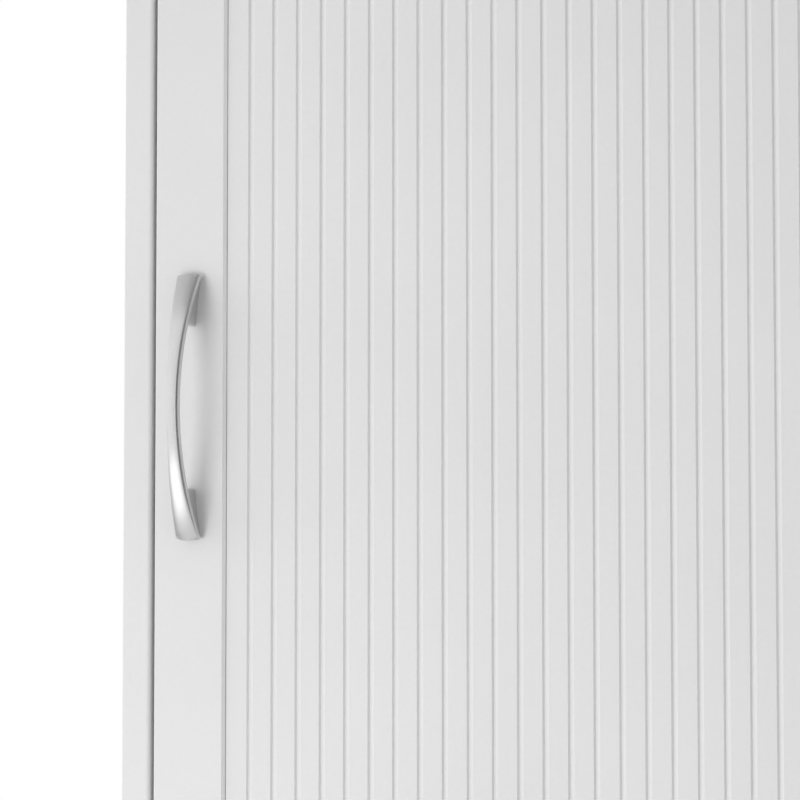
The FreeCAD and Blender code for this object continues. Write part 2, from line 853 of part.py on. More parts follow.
def make_hinge(level, centre):
    """A butt hinge between the door's edge and the partition, with its pin and screws."""
    bottom = centre - hinge_height / 2
    frame_leaf = "hinge_frame_leaf_" + level
    door_leaf = "hinge_door_leaf_" + level
    frame_range = (partition_left - leaf_thickness, partition_left)
    door_range = (door_right, door_right + leaf_thickness)
    boards[frame_leaf] = hinge_leaf(frame_range, bottom, range(0, knuckle_count, 2))
    boards[door_leaf] = hinge_leaf(door_range, bottom, range(1, knuckle_count, 2))

    pin = turned([
        (0, -hinge_pin_head_height),
        (hinge_pin_head_radius, -hinge_pin_head_height),
        (hinge_pin_head_radius, 0),
        (hinge_pin_radius, 0),
        (hinge_pin_radius, hinge_height),
        (hinge_pin_head_radius, hinge_height),
        (hinge_pin_head_radius, hinge_height + hinge_pin_head_height),
        (0, hinge_height + hinge_pin_head_height),
    ])
    boards["hinge_pin_" + level] = placed(pin, Vector(hinge_x, hinge_y, bottom), UP)

    size = (screw_head_radius, screw_radius, hinge_screw_length)
    places = [
        (hinge_screw_far, hinge_screw_spread),
        (hinge_screw_near, 0),
        (hinge_screw_far, -hinge_screw_spread),
    ]
    for depth, height in places:
        frame_point = Vector(frame_range[0], front + depth, centre + height)
        fasten("hinge_frame_screws", frame_point, RIGHT, size, (frame_leaf, "partition"))
        door_point = Vector(door_range[1], front + depth, centre + height)
        fasten("hinge_door_screws", door_point, -RIGHT, size, (door_leaf, "door_hinge_stile"))


def make_catch():
    """The magnetic catch on the left side board and the strike plate on the door."""
    catch_front = door_back + strike_thickness + catch_gap + pole_plate_proud
    catch_back = catch_front + catch_depth
    block_range = (inner_left, inner_left + catch_width)
    block = box(block_range, (catch_front, catch_back), around(door_middle, catch_height))
    base_range = (inner_left, inner_left + catch_base_thickness)
    base = box(base_range, (catch_front, catch_back), around(door_middle, catch_base_height))
    pole_right = inner_left + catch_width - catch_wall
    pole_left = pole_right - pole_span
    pocket_height = around(door_middle, catch_height - 2 * catch_wall)
    pocket = box((pole_left, pole_right), (catch_front, catch_front + magnet_depth), pocket_height)
    boards["catch_housing"] = block.fuse(base).cut(pocket).removeSplitter()

    inner_height = around(door_middle, catch_height - 2 * catch_wall - 2 * catch_fit)
    inner_back = catch_front + magnet_depth - catch_fit
    for left in (pole_left + catch_fit, pole_right - catch_fit - pole_plate_thickness):
        plate_range = (left, left + pole_plate_thickness)
        plate = box(plate_range, (catch_front - pole_plate_proud, inner_back), inner_height)
        add("catch_pole_plates", plate)
    plate_room = pole_plate_thickness + 2 * catch_fit
    magnet_range = (pole_left + plate_room, pole_right - plate_room)
    boards["catch_magnet"] = box(magnet_range, (catch_front + magnet_set_back, inner_back), inner_height)

    catch_size = (screw_head_radius, screw_radius, catch_screw_length)
    ear = (catch_base_height + catch_height) / 2
    for z in around(door_middle, ear):
        point = Vector(base_range[1], (catch_front + catch_back) / 2, z)
        fasten("catch_screws", point, -RIGHT, catch_size, ("catch_housing", "left_side_board"))

    strike_middle = (pole_left + pole_right) / 2
    strike_depth = (door_back, door_back + strike_thickness)
    strike = box(around(strike_middle, strike_width), strike_depth, around(door_middle, strike_height))
    boards["strike_plate"] = rounded(strike, strike_thickness, lambda b: b.YLength > strike_thickness / 2)
    strike_size = (screw_head_radius, screw_radius, strike_screw_length)
    for z in around(door_middle, strike_height - 2 * strike_screw_inset):
        point = Vector(strike_middle, strike_depth[1], z)
        fasten("strike_screws", point, -REAR, strike_size, ("strike_plate", "door_latch_stile"))


def export():
    """Drills the boards and writes one file for each piece or group."""
    os.makedirs("parts", exist_ok=True)
    for name, solid in boards.items():
        if name in drillings:
            solid = solid.cut(drillings[name])
        solid.exportStep("parts/" + name + ".step")
    for name, solids in groups.items():
        Part.makeCompound(solids).exportStep("parts/" + name + ".step")


make_case()
fix_case()
nail_back()
make_glides()
make_shelves()
make_door_frame()
make_door_panel()
make_handle()
make_hinge("lower", door_bottom + hinge_inset)
make_hinge("upper", door_top - hinge_inset)
make_catch()
export()
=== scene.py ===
import json
import math

import bmesh
import bpy
from bpy.props import FloatProperty, FloatVectorProperty, IntProperty, PointerProperty
from mathutils import Euler, Matrix, Vector


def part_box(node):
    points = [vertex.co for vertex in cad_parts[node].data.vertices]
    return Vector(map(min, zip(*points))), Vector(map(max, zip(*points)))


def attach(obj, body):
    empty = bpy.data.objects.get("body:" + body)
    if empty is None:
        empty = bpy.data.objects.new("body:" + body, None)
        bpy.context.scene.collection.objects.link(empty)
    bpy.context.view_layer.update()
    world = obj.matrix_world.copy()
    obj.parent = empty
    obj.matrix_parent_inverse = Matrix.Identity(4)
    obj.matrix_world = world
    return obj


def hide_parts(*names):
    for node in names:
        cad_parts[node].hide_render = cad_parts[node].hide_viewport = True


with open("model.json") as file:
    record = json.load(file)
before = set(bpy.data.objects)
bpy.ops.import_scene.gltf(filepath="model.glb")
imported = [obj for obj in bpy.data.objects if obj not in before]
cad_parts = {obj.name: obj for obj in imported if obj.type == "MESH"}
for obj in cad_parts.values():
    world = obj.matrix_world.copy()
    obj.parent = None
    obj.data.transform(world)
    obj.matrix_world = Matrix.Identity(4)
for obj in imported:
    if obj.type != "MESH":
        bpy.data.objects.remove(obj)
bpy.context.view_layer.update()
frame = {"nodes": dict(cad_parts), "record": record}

bl_info = {
    "name": "Over-the-toilet Cabinet",
    "version": (1, 0, 0),
    "blender": (4, 5, 0),
    "location": "View3D > Sidebar > Cabinet",
    "description": "Models and finishes a white cabinet with a grooved door and a bowed handle",
    "category": "Object",
}

nodes = frame["nodes"]
stile_low, stile_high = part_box("door_latch_stile")
panel_low, panel_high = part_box("door_panel")
sight_low = Vector((stile_high.x, stile_low.y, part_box("door_bottom_rail")[1].z))
sight_high = Vector((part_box("door_hinge_stile")[0].x, stile_low.y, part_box("door_top_rail")[0].z))
handle_low, handle_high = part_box("handle")
side_low, side_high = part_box("left_side_board")

# Places this close are the same place, and points this close become one point, in metres.
NEAR = 1e-5
WELD = 1e-6
# Share of an edge or a face normal that has to lie along an axis for it to count as along it.
STRAIGHT = 0.999
FACING = 0.9
# How far the thin blocks that the handle's bow and feet start from stand out, in metres.
THIN = 0.001


def length(name, description, default):
    """A size in metres for a user to change."""
    return FloatProperty(
        name=name, description=description, default=default, precision=5, unit="LENGTH", subtype="DISTANCE")


def tone(name, description, default):
    """A colour for a user to change."""
    return FloatVectorProperty(
        name=name, description=description, default=default, size=3, min=0, max=1, subtype="COLOR")


def count(name, description, default):
    """A number of things for a user to change."""
    return IntProperty(name=name, description=description, default=default, min=1)


def amount(name, description, default):
    """A plain number for a user to change, never below zero."""
    return FloatProperty(name=name, description=description, default=default, min=0)


def angle(name, description, degrees):
    """An angle for a user to change, given here in degrees."""
    return FloatProperty(name=name, description=description, default=math.radians(degrees), subtype="ANGLE")


class CabinetBoardSizes(bpy.types.PropertyGroup):
    side_round: length("Side Round", "Round on the inner front edge of a side board", 0.002)
    side_ease: length("Side Ease", "Ease on the outer front edge of a side board", 0.0005)
    edge_round: length("Edge Round", "Round on the edges of the door frame", 0.0008)
    sight_chamfer: length("Sight Chamfer", "Chamfer of the door frame round its panel", 0.0014)
    joint_line: length("Joint Line", "Ease that shows where a door rail meets a stile", 0.0002)
    arch_rise: length("Arch Rise", "Height and corner round of the foot arch", 0.05)
    foot_length: length("Foot Length", "Depth of each foot", 0.045)
    rebate: length("Rebate", "Width of the rebate for the back panel", 0.006)
    pin_hole: length("Pin Hole", "Radius of the shelf pin holes", 0.0025)
    pin_pitch: length("Pin Pitch", "Height between shelf pin holes", 0.032)
    pin_hole_depth: length("Pin Hole Depth", "Depth of the shelf pin holes", 0.008)
    pin_start: length("Pin Start", "Clear height below the lowest and above the highest pin hole", 0.113)
    pin_front: length("Pin Front", "Distance of the front row of pin holes from the front edge", 0.05)
    pin_back: length("Pin Back", "Distance of the back row of pin holes from the back edge", 0.04)
    pin_hole_sides: count("Pin Hole Sides", "Facets round a pin hole", 24)
    arch_steps: count("Arch Steps", "Facets round a corner of the foot arch", 24)
    round_steps: count("Round Steps", "Facets on a rounded edge", 5)


class CabinetPanelSizes(bpy.types.PropertyGroup):
    groove_count: count("Grooves", "Grooves on the door panel", 25)
    groove_pitch: length("Pitch", "Distance between grooves", 0.012)
    groove_width: length("Groove Width", "Width of a groove", 0.003)
    groove_depth: length("Groove Depth", "Depth of a groove before its bottom is rounded", 0.0012)
    groove_bottom: length("Groove Bottom", "Distance of a groove's bottom from its left edge", 0.0008)
    groove_round: length("Groove Round", "How far the round at the bottom goes up each side", 0.0003)
    groove_steps: count("Groove Steps", "Facets round the bottom of a groove", 8)
    panel_raise: length("Panel Raise", "Height of the grooved field over the panel's tongue", 0.0038)
    panel_gap: length("Panel Gap", "Gap between the grooved field and the frame", 0.0002)
    panel_seat: length("Panel Seat", "Depth of the slot that holds the panel", 0.008)
    panel_fit: length("Panel Fit", "Gap on each side of the panel's tongue", 0.00005)
    panel_play: length("Panel Play", "Gap past the edge of the panel's tongue", 0.0005)


class CabinetHandleSizes(bpy.types.PropertyGroup):
    tip_height: length("Tip Height", "Height of the tips over the door", 0.0044)
    tip_depth: length("Tip Depth", "Depth of the bow at its tips", 0.0034)
    waist_depth: length("Waist Depth", "Depth of the bow at its middle", 0.0041)
    waist_width: length("Waist Width", "Width of the bow at its middle", 0.0055)
    waist_crown: length("Waist Crown", "Crown across the bow at its middle", 0.0003)
    end_crown: length("End Crown", "Crown across the bow at its tips", 0.0009)
    upper_end_bow: length("Upper End Bow", "Curve of the upper tip seen from the front", 0.0007)
    lower_end_bow: length("Lower End Bow", "Curve of the lower tip seen from the front", 0.0014)
    edge_roll: length("Edge Roll", "Flat round along the front edges of the bow", 0.0007)
    roll_steps: count("Roll Steps", "Facets on the front edges of the bow", 6)
    roll_fullness: amount("Roll Fullness", "Fullness of the round on the front edges, 0.5 for an arc", 0.3)
    edge_ease: length("Edge Ease", "Ease on the other edges of the bow", 0.00018)
    ease_steps: count("Ease Steps", "Facets on the other edges of the bow", 3)
    sharp_angle: angle("Sharp Angle", "Angle from which an edge of the bow is eased", 50)
    foot_inner: length("Foot Inner", "Inner end of a foot from the middle", 0.0389)
    foot_outer: length("Foot Outer", "Outer end of a foot from the middle", 0.06)
    foot_inner_width: length("Foot Inner Width", "Width of a foot at its inner end", 0.0039)
    foot_outer_width: length("Foot Outer Width", "Width of a foot at its outer end", 0.0092)
    foot_round: length("Foot Round", "Round on the inner corners of a foot", 0.0009)
    foot_steps: count("Foot Steps", "Facets on the inner corners of a foot", 5)
    ring_count: count("Rings", "Sections along half of the bow", 28)


class CabinetFinishes(bpy.types.PropertyGroup):
    paint_light: tone("Paint", "White paint where it is clean", (0.80, 0.80, 0.80))
    paint_shade: tone("Paint Shade", "White paint where it drifts", (0.775, 0.775, 0.775))
    nickel_light: tone("Nickel", "Satin nickel on the crests of its grain", (0.75, 0.75, 0.75))
    nickel_shade: tone("Nickel Shade", "Satin nickel in its grain", (0.68, 0.68, 0.68))
    steel_light: tone("Steel", "Plated steel", (0.64, 0.64, 0.65))
    steel_shade: tone("Steel Shade", "Plated steel in its grain", (0.50, 0.50, 0.52))
    zinc_light: tone("Zinc", "Cast zinc", (0.55, 0.55, 0.56))
    zinc_shade: tone("Zinc Shade", "Cast zinc in its pores", (0.38, 0.38, 0.40))
    plastic_light: tone("Plastic", "White moulded plastic", (0.78, 0.78, 0.77))
    plastic_shade: tone("Plastic Shade", "White moulded plastic where it is thin", (0.72, 0.72, 0.71))
    hardboard_light: tone("Hardboard", "Bare hardboard", (0.42, 0.29, 0.18))
    hardboard_shade: tone("Hardboard Shade", "Bare hardboard between its fibres", (0.27, 0.17, 0.10))
    beech_light: tone("Beech", "Bare beech", (0.62, 0.45, 0.28))
    beech_shade: tone("Beech Shade", "Bare beech in its grain", (0.50, 0.34, 0.20))
    ferrite_light: tone("Ferrite", "Sintered ferrite", (0.09, 0.09, 0.095))
    ferrite_shade: tone("Ferrite Shade", "Sintered ferrite in its pores", (0.045, 0.045, 0.05))


class CabinetStage(bpy.types.PropertyGroup):
    camera_place: FloatVectorProperty(
        name="Camera", description="Where the camera stands", default=(0.20359, -1.35479, 1.30176), size=3,
        subtype="TRANSLATION", unit="LENGTH")
    camera_yaw: angle("Yaw", "Turn of the camera to the left", 16.482)
    camera_pitch: angle("Pitch", "Tilt of the camera upwards", 3.492)
    camera_roll: angle("Roll", "Roll of the camera", -0.015)
    camera_lens: amount("Lens", "Focal length in millimetres", 126.26)
    left_light: amount("Left Light", "Strength of the room's light from the left", 1.7)
    right_light: amount("Right Light", "Strength of the room's light from the right", 0.73)
    front_light: amount("Front Light", "Strength of the room's light from the front", 0.2)
    rear_light: amount("Rear Light", "Strength of the room's light from behind", 0.8)
    upper_light: amount("Upper Light", "Strength of the room's light from above", 0.95)
    front_power: amount("Front Power", "Power of the lamp in front", 4.45)
    low_power: amount("Low Power", "Power of the lamp at the lower left", 1.6)
    lamp_distance: length("Lamp Distance", "Distance of the lamps from the handle", 1.3)
    # The cards' pale and dark ends are painted reflection: the grade stands in for the room's light falling
    # off as the metal mirrors it.
    flag_light: tone("Flag Light", "Pale end of the card on the right", (0.90, 0.90, 0.90))
    flag_dark: tone("Flag Dark", "Dark end of the card on the right", (0.17, 0.17, 0.17))
    hood_light: tone("Hood Light", "Pale end of the card overhead", (0.80, 0.80, 0.80))
    hood_dark: tone("Hood Dark", "Dark end of the card overhead", (0.29, 0.29, 0.29))
    side_light: tone("Side Light", "Pale end of the card at the lower left", (0.58, 0.58, 0.58))
    side_dark: tone("Side Dark", "Dark end of the card at the lower left", (0.46, 0.46, 0.46))
    floor_tone: tone("Floor", "Pale floor", (0.80, 0.80, 0.80))
    floor_drift: tone("Floor Drift", "Pale floor where it drifts", (0.79, 0.79, 0.79))
    floor_size: length("Floor Size", "Length of the floor's sides", 40.0)
    fade_start: length("Fade Start", "Distance at which the floor starts to fade to white", 1.5)
    fade_end: length("Fade End", "Distance at which the floor is white", 7.0)


def block(name, low, high):
    """A box between two corners, as the start of a piece, open in edit mode."""
    low, high = Vector(low), Vector(high)
    bpy.ops.mesh.primitive_cube_add(size=1, location=(low + high) / 2, scale=high - low)
    bpy.ops.object.transform_apply(location=True, rotation=True, scale=True)
    piece = bpy.context.object
    piece.name = name
    piece.data.name = name
    bpy.ops.object.mode_set(mode="EDIT")
    return piece


def choose(piece, kind, test):
    """Selects the corners, edges or faces that pass a test."""
    bpy.ops.mesh.select_mode(type={"verts": "VERT", "edges": "EDGE", "faces": "FACE"}[kind])
    bpy.ops.mesh.select_all(action="DESELECT")
    mesh = bmesh.from_edit_mesh(piece.data)
    for item in getattr(mesh, kind):
        if test(item):
            item.select_set(True)
    mesh.select_flush_mode()
    bmesh.update_edit_mesh(piece.data)


def near(value, target):
    """Whether two places are the same."""
    return abs(value - target) < NEAR


def runs_along(edge, axis):
    """Whether an edge runs along an axis."""
    step = edge.verts[0].co - edge.verts[1].co
    return step.length > NEAR and abs(step[axis]) > STRAIGHT * step.length


def edge_at(edge, **places):
    """Whether both ends of an edge lie at the places given on some axes."""
    return all(near(getattr(vert.co, axis), value) for vert in edge.verts for axis, value in places.items())


def at_any(vert, places):
    """Whether a corner is at one of some places."""
    return any((vert.co - place).length < NEAR for place in places)


def slice_at(point, normal):
    """Cuts the whole piece along a plane."""
    bpy.ops.mesh.select_all(action="SELECT")
    bpy.ops.mesh.bisect(plane_co=point, plane_no=normal)


def push(value):
    """Extrudes what is selected."""
    bpy.ops.mesh.extrude_region_move(TRANSFORM_OT_translate={"value": value})


def ease(radius, steps, fullness=0.5):
    """Rounds the selected edges; a low fullness flattens the round towards a chamfer."""
    bpy.ops.mesh.bevel(offset=radius, segments=steps, profile=fullness, affect="EDGES", clamp_overlap=True)


def pick(piece):
    """Selects one piece and no other."""
    bpy.ops.object.select_all(action="DESELECT")
    bpy.context.view_layer.objects.active = piece
    piece.select_set(True)


def combine(piece, other, operation):
    """Applies a boolean with another object, which is then removed."""
    pick(piece)
    modifier = piece.modifiers.new("combine", "BOOLEAN")
    modifier.operation = operation
    modifier.solver = "EXACT"
    modifier.object = other
    bpy.ops.object.modifier_apply(modifier=modifier.name)
    mesh = other.data
    bpy.data.objects.remove(other)
    bpy.data.meshes.remove(mesh)


def repeat(piece, offset, number, join=False):
    """Copies a piece along a line."""
    modifier = piece.modifiers.new("row", "ARRAY")
    modifier.use_relative_offset = False
    modifier.use_constant_offset = True
    modifier.constant_offset_displace = offset
    modifier.count = number
    modifier.use_merge_vertices = join
    modifier.merge_threshold = NEAR
    bpy.ops.object.modifier_apply(modifier=modifier.name)


def settle(piece, body, slot, *replaced, smooth=40):
    """Leaves edit mode, smooths edges up to an angle in degrees and hands the piece to its body."""
    if piece.mode == "EDIT":
        bpy.ops.object.mode_set(mode="OBJECT")
    pick(piece)
    bpy.ops.object.mode_set(mode="EDIT")
    bpy.ops.mesh.select_all(action="SELECT")
    bpy.ops.mesh.remove_doubles(threshold=WELD)
    bpy.ops.mesh.normals_make_consistent(inside=False)
    bpy.ops.object.mode_set(mode="OBJECT")
    bpy.ops.object.shade_smooth_by_angle(angle=math.radians(smooth))
    modifier = piece.modifiers.new("even_normals", "WEIGHTED_NORMAL")
    modifier.keep_sharp = True
    bpy.ops.object.modifier_apply(modifier=modifier.name)
    piece.data.materials.clear()
    piece.data.materials.append(finish(slot))
    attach(piece, body)
    if replaced:
        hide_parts(*replaced)


def effect(name, inputs, outputs):
    """An empty shader node group with its sockets."""
    tree = bpy.data.node_groups.new(name, "ShaderNodeTree")
    for label, kind in inputs:
        tree.interface.new_socket(name=label, in_out="INPUT", socket_type="NodeSocket" + kind)
    for label, kind in outputs:
        tree.interface.new_socket(name=label, in_out="OUTPUT", socket_type="NodeSocket" + kind)
    return tree, tree.nodes.new("NodeGroupInput"), tree.nodes.new("NodeGroupOutput")


def feed(tree, value, socket):
    """Gives a socket its value, through a link if another node makes it."""
    if isinstance(value, bpy.types.NodeSocket):
        tree.links.new(value, socket)
    else:
        socket.default_value = value


def speckle(tree, place, scale, detail):
    """A noise texture read at a place."""
    noise = tree.nodes.new("ShaderNodeTexNoise")
    noise.inputs["Detail"].default_value = detail
    tree.links.new(place, noise.inputs["Vector"])
    feed(tree, scale, noise.inputs["Scale"])
    return noise.outputs["Fac"]


def sums(tree, operation, first, second):
    """Two values put together by a math node."""
    node = tree.nodes.new("ShaderNodeMath")
    node.operation = operation
    feed(tree, first, node.inputs[0])
    feed(tree, second, node.inputs[1])
    return node.outputs["Value"]


def spread(tree, value, low, high, start=0.35, end=0.65):
    """A value taken from one range, the middle of a noise unless given, to another."""
    node = tree.nodes.new("ShaderNodeMapRange")
    node.inputs["From Min"].default_value = start
    node.inputs["From Max"].default_value = end
    tree.links.new(value, node.inputs["Value"])
    feed(tree, low, node.inputs["To Min"])
    feed(tree, high, node.inputs["To Max"])
    return node.outputs["Result"]


def blend_tones(tree, factor, first, second):
    """A colour between two."""
    node = tree.nodes.new("ShaderNodeMix")
    node.data_type = "RGBA"
    tree.links.new(factor, node.inputs["Factor"])
    tree.links.new(first, node.inputs[6])
    tree.links.new(second, node.inputs[7])
    return node.outputs[2]


def weigh(tree, first, second, share):
    """Two values mixed, with a share for the first."""
    rest = sums(tree, "MULTIPLY", second, round(1 - share, 6))
    return sums(tree, "ADD", sums(tree, "MULTIPLY", first, share), rest)


TONE_SOCKETS = [("Light", "Color"), ("Shade", "Color"), ("Smooth", "Float"), ("Rough", "Float")]
FINISH_SOCKETS = [("Colour", "Color"), ("Roughness", "Float"), ("Height", "Float")]


def film_effect():
    """A sprayed or moulded film: slow drift of tone, patchy gloss and a fine peel."""
    tree, start, end = effect(
        "film",
        [("Place", "Vector"), *TONE_SOCKETS, ("Peel", "Float")],
        FINISH_SOCKETS,
    )
    place = start.outputs["Place"]
    drift = speckle(tree, place, scale=7.0, detail=3.0)
    fleck = speckle(tree, place, scale=420.0, detail=2.0)
    share = spread(tree, weigh(tree, drift, fleck, 0.7), 0.0, 1.0, start=0.38, end=0.62)
    colour = blend_tones(tree, share, start.outputs["Light"], start.outputs["Shade"])
    patches = speckle(tree, place, scale=38.0, detail=4.0)
    gloss = spread(tree, patches, start.outputs["Smooth"], start.outputs["Rough"])
    fine = speckle(tree, place, scale=start.outputs["Peel"], detail=2.0)
    wide = speckle(tree, place, scale=sums(tree, "MULTIPLY", start.outputs["Peel"], 0.2), detail=1.0)
    height = weigh(tree, fine, wide, 0.4)
    tree.links.new(colour, end.inputs["Colour"])
    tree.links.new(gloss, end.inputs["Roughness"])
    tree.links.new(height, end.inputs["Height"])
    return tree


def grain_effect():
    """A drawn-out grain: brush lines on metal, fibres in wood."""
    tree, start, end = effect(
        "grain",
        [("Place", "Vector"), ("Stretch", "Vector"), *TONE_SOCKETS],
        FINISH_SOCKETS,
    )
    place = start.outputs["Place"]
    stretched = tree.nodes.new("ShaderNodeVectorMath")
    stretched.operation = "MULTIPLY"
    tree.links.new(place, stretched.inputs[0])
    tree.links.new(start.outputs["Stretch"], stretched.inputs[1])
    lines = speckle(tree, stretched.outputs["Vector"], scale=1.0, detail=3.0)
    patches = speckle(tree, place, scale=60.0, detail=3.0)
    mixed = weigh(tree, lines, patches, 0.65)
    share = spread(tree, mixed, 0.0, 1.0)
    colour = blend_tones(tree, share, start.outputs["Light"], start.outputs["Shade"])
    gloss = spread(tree, mixed, start.outputs["Smooth"], start.outputs["Rough"])
    tree.links.new(colour, end.inputs["Colour"])
    tree.links.new(gloss, end.inputs["Roughness"])
    tree.links.new(lines, end.inputs["Height"])
    return tree


def bare_material(name):
    """A material with a shader and its object coordinates."""
    material = bpy.data.materials.new(name)
    material.use_nodes = True
    tree = material.node_tree
    tree.nodes.clear()
    shader = tree.nodes.new("ShaderNodeBsdfPrincipled")
    output = tree.nodes.new("ShaderNodeOutputMaterial")
    place = tree.nodes.new("ShaderNodeTexCoord")
    tree.links.new(shader.outputs["BSDF"], output.inputs["Surface"])
    return material, tree, shader, place.outputs["Object"]


def use_effect(tree, group, place, **values):
    """An effect placed in a material with its own values."""
    node = tree.nodes.new("ShaderNodeGroup")
    node.node_tree = group
    tree.links.new(place, node.inputs["Place"])
    for label, value in values.items():
        if hasattr(value, "__len__") and label != "Stretch":
            value = (*value, 1.0)
        node.inputs[label].default_value = value
    return node.outputs


def relief(tree, shader, height, depth):
    """A fine relief under the shader's gloss."""
    bump = tree.nodes.new("ShaderNodeBump")
    bump.inputs["Strength"].default_value = 1.0
    bump.inputs["Distance"].default_value = depth
    tree.links.new(height, bump.inputs["Height"])
    tree.links.new(bump.outputs["Normal"], shader.inputs["Normal"])


def surface(name, group, depth, metallic=0.0, **values):
    """A material with the tone, gloss and relief of one effect."""
    material, tree, shader, place = bare_material(name)
    shader.inputs["Metallic"].default_value = metallic
    outputs = use_effect(tree, group, place, **values)
    tree.links.new(outputs["Colour"], shader.inputs["Base Color"])
    tree.links.new(outputs["Roughness"], shader.inputs["Roughness"])
    relief(tree, shader, outputs["Height"], depth)
    return material


def hardboard_material(name, film, grain, tones):
    """Hardboard with a white film in front and bare fibres behind."""
    material, tree, shader, place = bare_material(name)
    white = use_effect(
        tree, film, place, Light=tones.paint_light, Shade=tones.paint_shade,
        Smooth=0.45, Rough=0.55, Peel=600.0)
    bare = use_effect(
        tree, grain, place, Light=tones.hardboard_light, Shade=tones.hardboard_shade,
        Smooth=0.7, Rough=0.85, Stretch=(900.0, 900.0, 500.0))
    axes = tree.nodes.new("ShaderNodeSeparateXYZ")
    tree.links.new(place, axes.inputs["Vector"])
    skin = 0.0005
    behind = sums(tree, "GREATER_THAN", axes.outputs["Y"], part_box("back_panel")[1].y - skin)
    tree.links.new(blend_tones(tree, behind, white["Colour"], bare["Colour"]), shader.inputs["Base Color"])
    rough = tree.nodes.new("ShaderNodeMix")
    tree.links.new(behind, rough.inputs["Factor"])
    tree.links.new(white["Roughness"], rough.inputs[2])
    tree.links.new(bare["Roughness"], rough.inputs[3])
    tree.links.new(rough.outputs[0], shader.inputs["Roughness"])
    relief(tree, shader, sums(tree, "MULTIPLY", bare["Height"], behind), depth=0.0003)
    return material


def finish(slot):
    """The material of one of the record's slots."""
    return bpy.data.materials["cabinet_" + slot]


class CABINET_OT_finishes(bpy.types.Operator):
    """Makes the finishes and puts them on the pieces that keep their own shape"""
    bl_idname = "cabinet.finishes"
    bl_label = "Finishes"

    def execute(self, context):
        tones = context.scene.cabinet_finishes
        film = film_effect()
        grain = grain_effect()
        surface(
            "cabinet_white_paint", film, depth=0.00001, Light=tones.paint_light,
            Shade=tones.paint_shade, Smooth=0.36, Rough=0.44, Peel=800.0)
        surface(
            "cabinet_white_plastic", film, depth=0.00001, Light=tones.plastic_light,
            Shade=tones.plastic_shade, Smooth=0.42, Rough=0.55, Peel=1500.0)
        surface(
            "cabinet_satin_nickel", grain, depth=0.0000004, metallic=1.0, Light=tones.nickel_light,
            Shade=tones.nickel_shade, Smooth=0.27, Rough=0.33, Stretch=(5000.0, 5000.0, 160.0))
        surface(
            "cabinet_plated_steel", grain, depth=0.000004, metallic=1.0, Light=tones.steel_light,
            Shade=tones.steel_shade, Smooth=0.22, Rough=0.34, Stretch=(2500.0, 2500.0, 900.0))
        surface(
            "cabinet_cast_zinc", grain, depth=0.00003, metallic=1.0, Light=tones.zinc_light,
            Shade=tones.zinc_shade, Smooth=0.4, Rough=0.55, Stretch=(1500.0, 1500.0, 1500.0))
        surface(
            "cabinet_beech", grain, depth=0.00005, Light=tones.beech_light,
            Shade=tones.beech_shade, Smooth=0.55, Rough=0.7, Stretch=(120.0, 1500.0, 1500.0))
        surface(
            "cabinet_ferrite", grain, depth=0.00004, Light=tones.ferrite_light,
            Shade=tones.ferrite_shade, Smooth=0.55, Rough=0.75, Stretch=(2500.0, 2500.0, 2500.0))
        hardboard_material("cabinet_hardboard", film, grain, tones)
        for entry in frame["record"]["subparts"]:
            mesh = nodes[entry["node"]].data
            mesh.materials.clear()
            mesh.materials.append(finish(entry["material_slot"]))
        return {"FINISHED"}


class CABINET_OT_side_boards(bpy.types.Operator):
    """Models the tall side boards with their foot arches, rebates and pin holes"""
    bl_idname = "cabinet.side_boards"
    bl_label = "Side Boards"

    def execute(self, context):
        sizes = context.scene.cabinet_boards
        for node in ("left_side_board", "right_side_board"):
            self.model(sizes, node)
        return {"FINISHED"}

    def model(self, sizes, node):
        """One side board, cut from a block."""
        low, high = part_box(node)
        inward = 1 if low.x < 0 else -1
        inner = high.x if inward > 0 else low.x
        piece = block("tall_" + node.split("_")[0] + "_side", low, high)
        bpy.ops.object.mode_set(mode="OBJECT")

        margin = 0.01
        arch = block(
            "arch",
            (low.x - margin, low.y + sizes.foot_length, low.z - margin),
            (high.x + margin, high.y - sizes.foot_length, low.z + sizes.arch_rise))
        choose(arch, "edges", lambda edge: runs_along(edge, 0) and edge_at(edge, z=low.z + sizes.arch_rise))
        ease(sizes.arch_rise, sizes.arch_steps)
        bpy.ops.object.mode_set(mode="OBJECT")
        combine(piece, arch, "DIFFERENCE")

        back_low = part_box("back_panel")[0]
        rebate = sorted((inner - inward * sizes.rebate, inner + inward * margin))
        slot = block(
            "rebate", (rebate[0], back_low.y, back_low.z), (rebate[1], high.y + margin, high.z + margin))
        bpy.ops.object.mode_set(mode="OBJECT")
        combine(piece, slot, "DIFFERENCE")
        combine(piece, self.pin_holes(sizes, inner), "DIFFERENCE")

        bpy.ops.object.mode_set(mode="EDIT")
        outer = low.x if inward > 0 else high.x
        for x, radius in ((inner, sizes.side_round), (outer, sizes.side_ease)):
            choose(piece, "edges", lambda edge: runs_along(edge, 2) and edge_at(edge, x=x, y=low.y))
            ease(radius, 2 * sizes.round_steps)
        settle(piece, "carcass", "white_paint", node)

    def pin_holes(self, sizes, inner):
        """A cutter with every pin hole of one side board."""
        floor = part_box("cabinet_floor")[1].z
        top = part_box("top_board")[0].z
        start = floor + sizes.pin_start
        holes = round((top - floor - 2 * sizes.pin_start) / sizes.pin_pitch) + 1
        front_row = side_low.y + sizes.pin_front
        back_row = side_high.y - sizes.pin_back
        bpy.ops.mesh.primitive_cylinder_add(
            vertices=sizes.pin_hole_sides, radius=sizes.pin_hole, depth=2 * sizes.pin_hole_depth,
            location=(inner, front_row, start), rotation=(0, math.pi / 2, 0))
        bpy.ops.object.transform_apply(location=True, rotation=True, scale=True)
        cutter = bpy.context.object
        repeat(cutter, (0, 0, sizes.pin_pitch), holes)
        repeat(cutter, (0, back_row - front_row, 0), 2)
        return cutter


